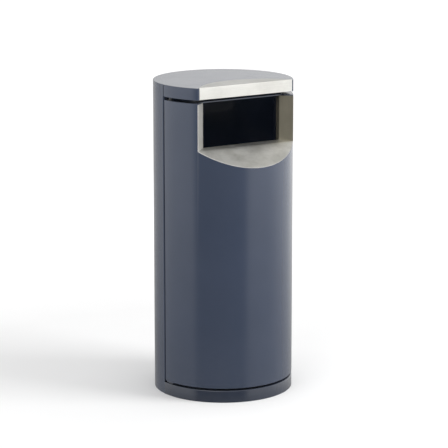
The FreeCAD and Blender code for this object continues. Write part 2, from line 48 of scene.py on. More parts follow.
THIN = 0.0012                                   # trim, ashtray and bucket sheet
BEVEL = 0.00035                                 # broken edge of cut sheet
THIN_BEVEL = 0.0003
BEND = 0.0026                                   # outside radius of a folded edge
SEAM = 0.0034                                   # gap between lid strip and casing
BEND_TURN = 1.2                                 # degrees of the casing that a folded edge takes up
SHARP = math.radians(38)                        # edges that turn more than this stay crisp
COLUMNS = 120                                   # divisions round half the casing

SHELL_LOW, SHELL_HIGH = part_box("rear_shell")
DOOR_LOW, DOOR_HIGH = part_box("door_panel")
BAND_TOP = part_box("base_band")[1].z
SKIRT_LOW, SKIRT_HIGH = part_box("lid_skirt")
PLATE_LOW, PLATE_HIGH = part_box("top_plate")
TRIM_LOW, TRIM_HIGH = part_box("lid_trim")
SILL_LOW, SILL_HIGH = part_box("sill_plate")
CHEEK_LOW, CHEEK_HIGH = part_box("right_cheek")
STRIKE_LOW, STRIKE_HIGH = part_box("strike_plate")
LINER_LOW, LINER_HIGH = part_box("liner_body")
RIM_LOW, RIM_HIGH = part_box("liner_rim")
TRAY_LOW, TRAY_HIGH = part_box("ashtray_tray")

RADIUS = SHELL_HIGH.x
SHELL_EDGE_Y = SHELL_LOW.y
EDGE_IN = 0.00001                               # its folded corner is this far inside the radius
LOCK_FLANGE_X = 0.174                           # inner edges of the shell's upright flanges
HINGE_FLANGE_X = -0.186
DOOR_LOCK_FLANGE_X = 0.188                      # inner edges of the door's upright flanges
DOOR_HINGE_FLANGE_X = -0.190
WINDOW_X = (0.1805, 0.189)                      # window for the hook in the shell's flange
LOCK_Z = (STRIKE_LOW.z + STRIKE_HIGH.z) / 2 - 0.013
WINDOW_Z = (LOCK_Z - 0.009, LOCK_Z + 0.039)
DOOR_EDGE_Y = DOOR_HIGH.y
LID_FRONT_Y = SKIRT_LOW.y                       # painted flat of the lid
LID_HALF = math.sqrt(RADIUS**2 - LID_FRONT_Y**2)
LID_CORNER = 0.004
CORNER_TURN = 1.6                               # degrees that the lid's front corner takes up
LIP_HALF = 0.146                                # lip folded under the lid's flat
LIP_REACH = 0.015
BASE_LIP = 0.0135                               # flange turned in at the top of the base band
MOUTH_Y = TRIM_LOW.y                            # stainless front plane
SILL_RADIUS = -SILL_LOW.y
MOUTH_HALF = CHEEK_LOW.x                        # half width between the cheeks
MOUTH_IN_Y = -0.097                             # inner edge of the cheeks
CHEEK_OUT_X = math.sqrt(SILL_RADIUS**2 - MOUTH_Y**2)
LEDGE_IN_Y = SILL_HIGH.y
LEDGE_TOP = SILL_HIGH.z
SILL_TOP = LEDGE_TOP - 0.004                    # bend between sill and ledge
SILL_SLOPE = math.tan(math.radians(31.3))       # fall of the sill for each metre forward
WIRE_R = (RIM_HIGH.z - RIM_LOW.z) / 2           # the bucket's rim wire
LINER_WALL = RIM_HIGH.x - 2 * WIRE_R            # outside radius of the bucket
BEAD_ZS = (0.210, 0.465)                        # heights of the bucket's two beads
TRAY_FRONT = -0.0895
HOOK_Y = -0.094                                 # the ashtray's turned-over front rim
HOOK_DROP = 0.007
HOOK_HALF = 0.108
UP = Vector((0, 0, 1))


# ---- node helpers --------------------------------------------------------------------------------
class Nodes:
    """A node tree and short ways to add and join its nodes."""

    def __init__(self, tree):
        self.tree = tree

    def add(self, kind, **props):
        made = self.tree.nodes.new(kind)
        for key, value in props.items():
            setattr(made, key, value)
        return made

    def join(self, source, target):
        self.tree.links.new(source, target)

    def ramp(self, source, low, high, start=0.3, end=0.7, shape="LINEAR"):
        """A number that goes from low to high while source goes from start to end."""
        made = self.add("ShaderNodeMapRange", clamp=True, interpolation_type=shape)
        made.inputs["From Min"].default_value = start
        made.inputs["From Max"].default_value = end
        made.inputs["To Min"].default_value = low
        made.inputs["To Max"].default_value = high
        self.join(source, made.inputs["Value"])
        return made.outputs["Result"]

    def math(self, operation, a, b):
        """The sum, difference or product of two numbers. Each is a number or a socket."""
        made = self.add("ShaderNodeMath", operation=operation)
        for socket, value in zip(made.inputs, (a, b)):
            if isinstance(value, (int, float)):
                socket.default_value = value
            else:
                self.join(value, socket)
        return made.outputs[0]


class Shader(Nodes):
    """A new material, with what its colour, roughness and bump are made from."""

    def __init__(self, name):
        self.material = bpy.data.materials.new(name)
        self.material.use_nodes = True
        super().__init__(self.material.node_tree)
        self.bsdf = self.tree.nodes["Principled BSDF"]
        self.place = self.add("ShaderNodeTexCoord").outputs["Object"]

    def set(self, **values):
        for key, value in values.items():
            self.bsdf.inputs[key.replace("_", " ")].default_value = value

    def stretched(self, scale, turn=0.0):
        """Object coordinates, turned about Z and then scaled."""
        mapping = self.add("ShaderNodeMapping", vector_type="POINT")
        mapping.inputs["Rotation"].default_value = (0, 0, turn)
        mapping.inputs["Scale"].default_value = scale
        self.join(self.place, mapping.inputs["Vector"])
        return mapping.outputs["Vector"]

    def noise(self, scale, detail=3.0, rough=0.5, at=None):
        made = self.add("ShaderNodeTexNoise")
        made.inputs["Scale"].default_value = scale
        made.inputs["Detail"].default_value = detail
        made.inputs["Roughness"].default_value = rough
        self.join(at or self.place, made.inputs["Vector"])
        return made.outputs["Fac"]

    def mix(self, factor, a, b):
        """Colour a where factor is 0, b where it is 1. Each is a colour or a socket."""
        made = self.add("ShaderNodeMix", data_type="RGBA", clamp_factor=True)
        self.join(factor, made.inputs["Factor"])
        for socket, value in ((made.inputs[6], a), (made.inputs[7], b)):
            if isinstance(value, tuple):
                socket.default_value = (*value, 1)
            else:
                self.join(value, socket)
        return made.outputs[2]

    def bump(self, *layers):
        """Bump from (height, distance in metres, strength) layers."""
        normal = None
        for height, distance, strength in layers:
            made = self.add("ShaderNodeBump")
            made.inputs["Strength"].default_value = strength
            made.inputs["Distance"].default_value = distance
            self.join(height, made.inputs["Height"])
            if normal:
                self.join(normal, made.inputs["Normal"])
            normal = made.outputs["Normal"]
        self.join(normal, self.bsdf.inputs["Normal"])

    def edges(self, low=0.52, high=0.60):
        """1 on outside edges, 0 elsewhere."""
        pointed = self.add("ShaderNodeNewGeometry").outputs["Pointiness"]
        return self.ramp(pointed, 0.0, 1.0, low, high)

    def height(self):
        split = self.add("ShaderNodeSeparateXYZ")
        self.join(self.place, split.inputs["Vector"])
        return split.outputs["Z"]


# ---- materials -----------------------------------------------------------------------------------
def paint(name, deep=(0.034, 0.047, 0.080), pale=(0.039, 0.053, 0.089)):
    """Glossy bluish anthracite powder coat with orange peel, dust along its foot and worn edges."""
    s = Shader(name)
    flow = s.noise(5.0, 4.0)
    base = s.mix(s.ramp(flow, 0, 1), deep, pale)
    low = s.ramp(s.height(), 0.05, 0.0, 0.0, 0.14)
    dust = s.math("MULTIPLY", low, s.ramp(s.noise(38.0, 6.0, 0.65), 0, 1, 0.4, 0.8))
    base = s.mix(dust, base, (0.16, 0.16, 0.155))
    base = s.mix(s.math("MULTIPLY", s.edges(), 0.35), base, (0.12, 0.13, 0.15))
    s.join(base, s.bsdf.inputs["Base Color"])
    rough = s.math("ADD", s.ramp(s.noise(9.0, 5.0, 0.6), 0.20, 0.27), s.math("MULTIPLY", dust, 0.5))
    s.join(rough, s.bsdf.inputs["Roughness"])
    s.set(Metallic=0.0, Coat_Weight=0.75, Coat_Roughness=0.045, Specular_IOR_Level=0.5)
    s.bump((s.noise(430.0, 2.0), 0.0001, 0.30), (s.noise(3.2, 1.0), 0.0016, 0.30))
    return s.material


STEEL_TONES = (0.53, 0.525, 0.505), (0.66, 0.655, 0.635), (0.47, 0.465, 0.44)


def stainless(name, scale, tint=(1.0, 1.0, 1.0), rough=0.34, metal=1.0, smear=0.45):
    """Brushed sheet. The grain runs along the axis with the low scale, and smear is how far the
    dull patches show. A lower metal gives the hazy look of steel that has been wiped many times."""
    s = Shader(name)
    grain = s.noise(1.0, 3.0, 0.6, s.stretched(scale))
    cloud = s.noise(13.0, 4.0, 0.6)
    smudge = s.noise(46.0, 5.0, 0.7)
    # tint scales the steel's colour: painted light and shade, set for where each sheet sits
    dark, light, dull = [tuple(v * t for v, t in zip(c, tint)) for c in STEEL_TONES]
    base = s.mix(s.ramp(grain, 0, 1, 0.2, 0.8), dark, light)
    base = s.mix(s.ramp(cloud, 0, smear, 0.42, 0.62), base, dull)
    s.join(base, s.bsdf.inputs["Base Color"])
    uneven = s.math("ADD", s.ramp(grain, rough, rough + 0.10), s.ramp(smudge, 0.0, 0.12, 0.5, 0.75))
    s.join(uneven, s.bsdf.inputs["Roughness"])
    s.set(Metallic=metal, Anisotropic=0.3)
    s.bump((grain, 0.00003, 0.4), (cloud, 0.0006, 0.12))
    return s.material


def cut_edge():
    """Ground edge of the stainless sheet: more matt than its faces, and lighter, partly from the grinding
    and partly as a painted highlight along the edge.
    """
    s = Shader("stainless_edge_painted_highlight")
    s.join(s.mix(s.ramp(s.noise(300.0, 4.0), 0, 1), (0.72, 0.71, 0.69), (0.86, 0.85, 0.83)),
           s.bsdf.inputs["Base Color"])
    s.join(s.ramp(s.noise(500.0, 3.0), 0.50, 0.62), s.bsdf.inputs["Roughness"])
    s.set(Metallic=0.4)
    s.bump((s.noise(700.0, 3.0), 0.00005, 0.4))
    return s.material


def galvanised():
    """Hot-dip zinc with spangle, run marks and dulled patches."""
    s = Shader("galvanised")
    cells = s.add("ShaderNodeTexVoronoi", feature="F1")
    cells.inputs["Scale"].default_value = 95.0
    cells.inputs["Randomness"].default_value = 1.0
    s.join(s.place, cells.inputs["Vector"])
    tint = s.add("ShaderNodeSeparateColor")
    s.join(cells.outputs["Color"], tint.inputs["Color"])
    base = s.mix(tint.outputs["Red"], (0.40, 0.42, 0.44), (0.58, 0.60, 0.62))
    dull = s.ramp(s.noise(7.0, 5.0, 0.6), 0, 0.7, 0.45, 0.7)
    base = s.mix(dull, base, (0.36, 0.37, 0.37))
    s.join(base, s.bsdf.inputs["Base Color"])
    rough = s.math("ADD", s.ramp(tint.outputs["Green"], 0.28, 0.46, 0, 1), s.math("MULTIPLY", dull, 0.2))
    s.join(rough, s.bsdf.inputs["Roughness"])
    s.set(Metallic=0.9)
    s.bump((cells.outputs["Distance"], 0.0002, 0.25), (s.noise(60.0, 4.0), 0.0003, 0.2))
    return s.material


def plated(name, low, high, rough):
    """Small zinc-plated, chromed or turned steel parts with fine scratches, patchy roughness and lighter
    outer edges.
    """
    s = Shader(name)
    fine = s.noise(1.0, 5.0, 0.7, s.stretched((900.0, 90.0, 450.0), 0.4))
    patch = s.noise(120.0, 4.0, 0.6)
    base = s.mix(s.ramp(patch, 0, 1), low, high)
    base = s.mix(s.math("MULTIPLY", s.edges(), 0.5), base, (0.85, 0.85, 0.85))
    s.join(base, s.bsdf.inputs["Base Color"])
    uneven = s.math("ADD", s.ramp(fine, rough, rough + 0.12), s.ramp(patch, 0.0, 0.08))
    s.join(uneven, s.bsdf.inputs["Roughness"])
    s.set(Metallic=1.0)
    s.bump((fine, 0.00005, 0.4))
    return s.material


def moulded(name, low, high, rough, grain):
    """Nylon or rubber: mottled colour and a fine moulded texture."""
    s = Shader(name)
    base = s.mix(s.ramp(s.noise(150.0, 4.0), 0, 1), low, high)
    s.join(base, s.bsdf.inputs["Base Color"])
    s.join(s.ramp(s.noise(600.0, 3.0), rough, rough + 0.15), s.bsdf.inputs["Roughness"])
    s.bump((s.noise(grain, 3.0), 0.0001, 0.6))
    return s.material


def floor_paper():
    """Seamless white studio paper. It glows a little further out, to run into the white behind."""
    s = Shader("studio_paper")
    base = s.mix(s.ramp(s.noise(3.0, 3.0), 0, 1), (0.90, 0.90, 0.90), (0.915, 0.915, 0.915))
    s.join(base, s.bsdf.inputs["Base Color"])
    s.join(s.ramp(s.noise(300.0, 3.0), 0.85, 0.95), s.bsdf.inputs["Roughness"])
    s.bump((s.noise(900.0, 3.0), 0.0001, 0.2))
    away = s.add("ShaderNodeVectorMath", operation="LENGTH")
    s.join(s.place, away.inputs[0])
    s.join(s.ramp(away.outputs["Value"], 0.0, 0.30, 0.9, 2.4), s.bsdf.inputs["Emission Strength"])
    s.set(Emission_Color=(1, 1, 1, 1))
    return s.material


ALONG_X = (7.0, 900.0, 900.0)                   # noise scales for brushing along X, and upright
UPRIGHT = (700.0, 700.0, 9.0)

PAINT = paint("powder_coat")
# darker copy of the powder coat for the base band: painted shade standing in for the contact shadow along
# the foot
PAINT_BAND_PAINTED_SHADE = paint("powder_coat_band_painted_shade", (0.022, 0.029, 0.048), (0.026, 0.034, 0.055))
STEEL_X = stainless("stainless_along", ALONG_X)
# the trim's band is lightened well past bare steel and its leaf a little darkened: painted light and
# shade on one sheet
STEEL_TRIM_PAINTED_LIGHT = stainless("stainless_trim_painted_light", ALONG_X, (1.44, 1.44, 1.42), 0.58, 0.52)
STEEL_LEAF_PAINTED_SHADE = stainless("stainless_leaf_painted_shade", ALONG_X, (0.92, 0.92, 0.91), 0.42, 0.70)
# the sill's steel is lightened: painted light on the sloping sill
STEEL_SILL_PAINTED_LIGHT = stainless("stainless_sill_painted_light", (9.0, 700.0, 700.0), (1.20, 1.20, 1.18), 0.50, smear=1.0)
# left cheek lightened and right cheek darkened to a warm olive: painted light and a painted reflection on
# two copies of one steel
STEEL_LEFT_PAINTED_LIGHT = stainless("stainless_left_painted_light", UPRIGHT, (1.36, 1.36, 1.35), 0.52)
STEEL_RIGHT_PAINTED_REFLECTION = stainless("stainless_right_painted_reflection", UPRIGHT, (0.83, 0.78, 0.64), 0.44)
# lighter cut edges carry a painted highlight
EDGE_PAINTED_HIGHLIGHT = cut_edge()
ZINC = plated("zinc_plate", (0.50, 0.52, 0.55), (0.66, 0.67, 0.67), 0.26)
GALVANISED = galvanised()
WIRE = plated("galvanised_wire", (0.45, 0.46, 0.47), (0.60, 0.61, 0.62), 0.32)
# hinge pins kept far darker than bare turned steel: painted shade, so they read as the shade in the gap
# between door and lid
TURNED_PAINTED_SHADE = plated("turned_steel_painted_shade", (0.15, 0.15, 0.155), (0.24, 0.24, 0.25), 0.30)
CHROME = plated("satin_chrome", (0.66, 0.66, 0.68), (0.78, 0.78, 0.79), 0.14)
NYLON = moulded("nylon", (0.030, 0.030, 0.033), (0.055, 0.055, 0.060), 0.40, 700.0)
RUBBER = moulded("black_rubber", (0.012, 0.012, 0.012), (0.028, 0.028, 0.027), 0.62, 900.0)


# ---- mesh helpers --------------------------------------------------------------------------------
def arc(radius, start, end, count):
    """Plan points on a circle about the axis. Degrees from the front (-Y) towards +X."""
    turns = [math.radians(start + (end - start) * i / count) for i in range(count + 1)]
    return [(radius * math.sin(t), -radius * math.cos(t)) for t in turns]


def turned_corner(before, corner, after, radius, count=5):
    """The points that round off one corner of a path in a plane."""
    a = (Vector(before) - Vector(corner)).normalized()
    b = (Vector(after) - Vector(corner)).normalized()
    half = a.angle(b) / 2
    reach = radius / math.tan(half)
    centre = Vector(corner) + (a + b).normalized() * (radius / math.sin(half))
    first = Vector(corner) + a * reach - centre
    last = Vector(corner) + b * reach - centre
    sweep = first.angle(last)
    points = []
    for i in range(count + 1):
        t = i / count
        mixed = first * math.sin((1 - t) * sweep) + last * math.sin(t * sweep)
        points.append(tuple(centre + mixed / math.sin(sweep)))
    return points


def upright_rows(path, heights):
    """Rows of points that lift a plan path to each height. A height may be one number per point."""
    rows = []
    for height in heights:
        levels = height if isinstance(height, list) else [height] * len(path)
        rows.append([(x, y, z) for (x, y), z in zip(path, levels)])
    return rows


def add_grid(bm, rows, wanted=None, closed=False):
    """Adds the faces between rows of points. wanted(row, column) picks the cells."""
    made = [[bm.verts.new(point) for point in row] for row in rows]
    across = len(rows[0]) if closed else len(rows[0]) - 1
    for r in range(len(rows) - 1):
        for c in range(across):
            if wanted and not wanted(r, c):
                continue
            d = (c + 1) % len(rows[0])
            corners = [made[r][c], made[r][d], made[r + 1][d], made[r + 1][c]]
            bm.faces.new(corners)
    return made


def finish_piece(bm, name, material, body, nodes=(), thickness=None, bevel=BEVEL, edge=None):
    """Turns a bmesh into a piece: merged, thickened, with broken edges, and put on its body."""
    bmesh.ops.remove_doubles(bm, verts=bm.verts, dist=1e-6)
    loose = [v for v in bm.verts if not v.link_faces]
    bmesh.ops.delete(bm, geom=loose, context="VERTS")
    for face in bm.faces:
        face.smooth = True
    mesh = bpy.data.meshes.new(name)
    bm.to_mesh(mesh)
    bm.free()
    piece = bpy.data.objects.new(name, mesh)
    bpy.context.scene.collection.objects.link(piece)
    mesh.materials.append(material)
    if thickness:
        solid = piece.modifiers.new("sheet", "SOLIDIFY")
        solid.thickness = thickness
        solid.offset = -1
        solid.use_even_offset = True
        if edge:
            mesh.materials.append(edge)
            solid.material_offset_rim = 1
    if bevel:
        broken = piece.modifiers.new("edge", "BEVEL")
        broken.width = bevel
        broken.segments = 2
        broken.limit_method = "ANGLE"
        broken.angle_limit = SHARP
        broken.harden_normals = True
    else:
        mesh.set_sharp_from_angle(angle=SHARP)
    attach(piece, body)
    if nodes:
        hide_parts(*nodes)
    return piece


# ---- casing --------------------------------------------------------------------------------------
def make_shell_back():
    """Rear half of the casing with the folded flanges up its front edges."""
    start = math.degrees(math.asin(-SHELL_EDGE_Y / RADIUS))
    wall = arc(RADIUS, 90 + BEND_TURN, 270 - BEND_TURN, COLUMNS)
    corner = (RADIUS - EDGE_IN, SHELL_EDGE_Y)
    lock_bend = turned_corner((0.18, SHELL_EDGE_Y), corner, wall[0], BEND)
    hinge_bend = [(-x, y) for x, y in reversed(lock_bend)]
    lock_flange = [(x, SHELL_EDGE_Y) for x in (LOCK_FLANGE_X, *WINDOW_X)]
    folded = lock_flange + lock_bend + wall + hinge_bend + [(HINGE_FLANGE_X, SHELL_EDGE_Y)]
    low, high = DOOR_LOW.z, SKIRT_LOW.z - 0.003
    bm = bmesh.new()
    add_grid(bm, upright_rows(folded, (low, *WINDOW_Z, high)), lambda r, c: not (r == 1 and c == 1))
    lock_end = arc(RADIUS, 90 - start, 90 + BEND_TURN, 1)
    hinge_end = arc(RADIUS, 270 - BEND_TURN, 270 + start, 1)
    straight = lock_end + wall[1:-1] + hinge_end
    add_grid(bm, upright_rows(straight, (0.0, low)))
    add_grid(bm, upright_rows(straight, (high, SHELL_HIGH.z)))
    return finish_piece(bm, "casing_back", PAINT, "casing", ("rear_shell",), SHEET)


def make_base_ring():
    """Band along the ground in front, its top edge folded inwards."""
    end = 90 - math.degrees(math.asin(-SHELL_EDGE_Y / RADIUS))
    lip = (RADIUS - BASE_LIP, BAND_TOP)
    bend = turned_corner((RADIUS, 0.0), (RADIUS, BAND_TOP), lip, BEND)
    profile = [(RADIUS, 0.0)] + bend + [lip]
    plan = arc(1.0, -end, end, COLUMNS)
    rows = [[(x * r, y * r, z) for x, y in plan] for r, z in profile]
    notch = math.sin(math.radians(-78.5))           # the lip stops short of the hinge bracket
    lip_row = len(profile) - 2
    bm = bmesh.new()
    add_grid(bm, rows, lambda r, c: r < lip_row or plan[c][0] > notch)
    # the band takes the darker coat: painted shade along the foot
    return finish_piece(bm, "base_ring", PAINT_BAND_PAINTED_SHADE, "casing", ("base_band",), SHEET)


def lid_outline(inset=0.0, count=COLUMNS):
    """Closed plan of the lid from its left front corner round the back to the right one."""
    radius, front = RADIUS - inset, LID_FRONT_Y + inset
    half = math.sqrt(radius**2 - front**2)
    turn = math.degrees(math.atan2(half, -front))
    back = arc(radius, turn + CORNER_TURN, 360 - turn - CORNER_TURN, count)
    right = turned_corner((0, front), (half, front), back[0], LID_CORNER - inset * 0.8, 4)
    left = [(-x, y) for x, y in reversed(right)]
    chord = [(half * (i / 12 - 0.5) * 1.9, front) for i in range(13)]
    return chord + right + back + left


def make_lid_plate():
    """Flat top with a softly rounded rim."""
    rim = 0.0014
    bm = bmesh.new()
    rows = [[(x, y, PLATE_LOW.z) for x, y in lid_outline()]]
    for i in range(6):
        turn = math.radians(90 * i / 5)
        inset = rim * (1 - math.cos(turn))
        height = PLATE_HIGH.z - rim + rim * math.sin(turn)
        rows.append([(x, y, height) for x, y in lid_outline(inset)])
    rows.append([(x, y, PLATE_HIGH.z) for x, y in lid_outline(rim + 0.0012)])
    made = add_grid(bm, rows, closed=True)
    bm.faces.new(made[-1])
    bm.faces.new(list(reversed(made[0])))
    return finish_piece(bm, "lid_plate", PAINT, "casing", ("top_plate",), bevel=None)


def make_lid_front():
    """Strip round the front of the lid with a lip folded under its flat."""
    start = math.degrees(math.asin((SEAM - SHELL_EDGE_Y) / RADIUS))
    turn = math.degrees(math.atan2(LID_HALF, -LID_FRONT_Y))
    side = arc(RADIUS, turn + CORNER_TURN, 90 - start, 40)
    right = turned_corner((0, LID_FRONT_Y), (LID_HALF, LID_FRONT_Y), side[0], LID_CORNER, 5)
    chord = [(-LIP_HALF, LID_FRONT_Y), (LIP_HALF, LID_FRONT_Y)]
    right_side = right + side
    left_side = [(-x, y) for x, y in reversed(right_side)]
    path = left_side + chord + right_side
    lip_column = len(left_side)
    bottom = SKIRT_LOW.z
    bm = bmesh.new()
    add_grid(bm, upright_rows(path, (bottom, bottom + BEND, SKIRT_HIGH.z)),
             lambda r, c: r > 0 or c != lip_column)
    lip = (LID_FRONT_Y + LIP_REACH, bottom)
    bend = turned_corner(lip, (LID_FRONT_Y, bottom), (LID_FRONT_Y, SKIRT_HIGH.z), BEND)
    add_grid(bm, [[(x, y, z) for x in (-LIP_HALF, LIP_HALF)] for y, z in [lip] + bend])
    return finish_piece(bm, "lid_front", PAINT, "casing", ("lid_skirt",), SHEET)


def make_lid_trim():
    """Stainless angle: a band on the lid's flat, folded over into a curved leaf on top."""
    half, top = TRIM_HIGH.x, TRIM_HIGH.z
    reach = TRIM_HIGH.y - LID_FRONT_Y
    circle = (half**2 + reach**2) / (2 * reach)
    bend = turned_corner((MOUTH_Y, TRIM_LOW.z), (MOUTH_Y, top), (MOUTH_Y + 0.02, top), 0.0022, 6)
    xs = [half * (i / 80 * 2 - 1) for i in range(81)]
    rows = [[(x, y, z) for x in xs] for y, z in [(MOUTH_Y, TRIM_LOW.z)] + bend]
    start = bend[-1][0]
    for step in range(1, 9):
        t = step / 8
        row = []
        for x in xs:
            end = LID_FRONT_Y + reach - circle + math.sqrt(circle**2 - x**2)
            end = max(end, start + 0.0004)
            row.append((x, start + (end - start) * t, top))
        rows.append(row)
    bm = bmesh.new()
    add_grid(bm, rows)
    # the band takes the lightened steel and, below, the leaf's upward faces the darker one: painted light
    # and painted shade on one sheet
    trim = finish_piece(bm, "lid_trim_angle", STEEL_TRIM_PAINTED_LIGHT, "casing", ("lid_trim",),
                        THIN, THIN_BEVEL, EDGE_PAINTED_HIGHLIGHT)
    trim.data.materials.append(STEEL_LEAF_PAINTED_SHADE)
    trim.data.materials.append(EDGE_PAINTED_HIGHLIGHT)            # the rim of the leaf's faces is one slot further on
    for face in trim.data.polygons:
        if face.normal.z > 0.9:
            face.material_index = 2
    return trim


# ---- door ----------------------------------------------------------------------------------------
def make_door():
    """Front half of the casing. Its top follows the sill between the cheeks."""
    end = math.degrees(math.acos(-DOOR_EDGE_Y / RADIUS))
    run = Vector((MOUTH_HALF - CHEEK_OUT_X, MOUTH_IN_Y - MOUTH_Y)).normalized()
    back_x = CHEEK_OUT_X + run.y * STEEL
    back_y = MOUTH_Y - run.x * STEEL
    mouth = math.degrees(math.atan2(back_x, -back_y))
    left = arc(RADIUS, BEND_TURN - end, -mouth, 44)
    middle = arc(RADIUS, -mouth, mouth, 96)
    right = arc(RADIUS, mouth, end - BEND_TURN, 44)
    corner = (RADIUS * math.sin(math.radians(end)), DOOR_EDGE_Y)

    def fold(x):
        return turned_corner(right[-1], corner, (x, DOOR_EDGE_Y), BEND) + [(x, DOOR_EDGE_Y)]

    hinge_fold = [(-x, y) for x, y in reversed(fold(-DOOR_HINGE_FLANGE_X))]
    path = hinge_fold + left + middle[1:-1] + right + fold(DOOR_LOCK_FLANGE_X)
    first = len(hinge_fold) + len(left) - 1
    last = first + len(middle) - 1
    under = SILL_TOP - SHEET
    slant = SHEET * math.sqrt(1 + SILL_SLOPE**2)

    def cut(y):
        return min(under, SILL_TOP - SILL_SLOPE * (MOUTH_Y - y) - slant)

    tops = [cut(y) if first < i < last else under for i, (x, y) in enumerate(path)]
    middle_z = [0.5 * (DOOR_LOW.z + z) for z in tops]
    bm = bmesh.new()
    add_grid(bm, upright_rows(path, (DOOR_LOW.z, middle_z, tops, DOOR_HIGH.z)),
             lambda r, c: r < 2 or c < first or c >= last)
    return finish_piece(bm, "door_skin", PAINT, "door", ("door_panel",), SHEET)


def make_sill():
    """One folded stainless sheet: sloping sill, rising ledge and a flange down inside."""
    us = [i / 40 - 1 for i in range(81)]
    outer = CHEEK_OUT_X - 0.0002

    def sill_row(t):
        row = []
        for u in us:
            x = u * outer
            y = MOUTH_Y + t * (-math.sqrt(SILL_RADIUS**2 - x**2) - MOUTH_Y)
            row.append((x, y, SILL_TOP - SILL_SLOPE * (MOUTH_Y - y)))
        return row

    ledge_bend = turned_corner((MOUTH_Y - 0.01, SILL_TOP - 0.01 * SILL_SLOPE), (MOUTH_Y, SILL_TOP),
                               (LEDGE_IN_Y, LEDGE_TOP), 0.006, 4)
    hem = turned_corner((MOUTH_Y, SILL_TOP), (LEDGE_IN_Y, LEDGE_TOP), (LEDGE_IN_Y, SILL_LOW.z),
                        0.0024, 6)
    rows = [sill_row(1 - i / 12) for i in range(12)]
    flange_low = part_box("ashtray_hanger")[0].z - 0.003
    for y, z in ledge_bend[2:] + hem + [(LEDGE_IN_Y, flange_low)]:
        share = min(max((y - MOUTH_Y) / (MOUTH_IN_Y - MOUTH_Y), 0), 1)
        half = outer + (MOUTH_HALF - 0.0002 - outer) * share
        rows.append([(u * half, y, z) for u in us])
    bm = bmesh.new()
    add_grid(bm, rows)
    # the sill takes the lightened steel: painted light
    return finish_piece(bm, "mouth_sill", STEEL_SILL_PAINTED_LIGHT, "door", ("sill_plate",),
                        SHEET, THIN_BEVEL, EDGE_PAINTED_HIGHLIGHT)


def make_cheek(side):
    """Splayed side of the mouth with a rounded return behind it."""
    back = (MOUTH_HALF, CHEEK_HIGH.y)
    inner = (MOUTH_HALF, MOUTH_IN_Y)
    outer = (CHEEK_OUT_X, MOUTH_Y)
    path = [back] + turned_corner(back, inner, outer, 0.0012, 5) + [outer]
    if side < 0:
        path = [(-x, y) for x, y in reversed(path)]
    heights = (CHEEK_LOW.z + 0.0005, SILL_TOP + 0.03, CHEEK_HIGH.z)
    bm = bmesh.new()
    add_grid(bm, upright_rows(path, heights))
    # the left cheek takes the lightened steel and the right one the darker olive steel: painted light and
    # painted reflection
    name, steel = ("right", STEEL_RIGHT_PAINTED_REFLECTION) if side > 0 else ("left", STEEL_LEFT_PAINTED_LIGHT)
    return finish_piece(bm, f"cheek_{name}", steel, "door", (f"{name}_cheek",),
                        STEEL, THIN_BEVEL, EDGE_PAINTED_HIGHLIGHT)


# ---- inside --------------------------------------------------------------------------------------
def lathe(profile, count=128):
    """A bmesh turned from (radius, height) points."""
    bm = bmesh.new()
    turns = [2 * math.pi * i / count for i in range(count)]
    rows = [[(r * math.sin(t), -r * math.cos(t), z) for t in turns] for r, z in profile]
    add_grid(bm, rows, closed=True)
    return bm


def make_liner():
    """Galvanised bucket: rounded foot, two swaged beads and a rolled rim over a wire."""
    wall, low, high = LINER_WALL, LINER_LOW.z, LINER_HIGH.z
    bead_out, bead_half = LINER_HIGH.x - wall, 0.008
    axis_r, floor_r = 0.0002, 0.08

    def side(radius, foot_z, foot_r):
        """The rounded foot, and then the wall with its beads."""
        points = []
        for i in range(7):
            turn = math.radians(90 * i / 6)
            out, up = foot_r * (math.sin(turn) - 1), foot_r * (1 - math.cos(turn))
            points.append((radius + out, foot_z + up))
        for z in BEAD_ZS:
            for i in range(13):
                t = i / 12 * 2 - 1
                swell = bead_out * 0.5 * (1 + math.cos(math.pi * t))
                points.append((radius + swell, z + bead_half * t))
        return points

    rim = []
    for i in range(15):
        turn = math.radians(-80 + 260 * i / 14)
        rim.append((wall + WIRE_R * (1 + math.cos(turn)), high - WIRE_R * (1 - math.sin(turn))))
    inner = side(wall - THIN, low + THIN, 0.006)
    profile = [(axis_r, low), (floor_r, low)] + side(wall, low, 0.007)
    profile += [(wall, high - 2 * WIRE_R - 0.001)] + rim + [(wall - THIN, high - WIRE_R)]
    profile += list(reversed(inner)) + [(floor_r, low + THIN), (axis_r, low + THIN)]
    return finish_piece(lathe(profile), "bucket", GALVANISED, "casing",
                        ("liner_body", "liner_rim"), bevel=None)


def make_bucket_seam():
    """Folded lock seam down the outside of the bucket."""
    sunk, proud, half, top_half = -0.0002, 0.0009, 0.0045, 0.003825
    plan = []
    for offset, out in ((-half, sunk), (-top_half, proud), (top_half, proud), (half, sunk)):
        turn = math.radians(52) + offset / LINER_WALL
        plan.append(((LINER_WALL + out) * math.sin(turn), -(LINER_WALL + out) * math.cos(turn)))
    bm = bmesh.new()
    low, high = LINER_LOW.z + 0.010, RIM_LOW.z - 0.004
    made = add_grid(bm, upright_rows(plan, (low, high)))
    bm.faces.new(list(reversed(made[0])))
    bm.faces.new(made[1])
    return finish_piece(bm, "bucket_seam", GALVANISED, "casing", bevel=THIN_BEVEL)


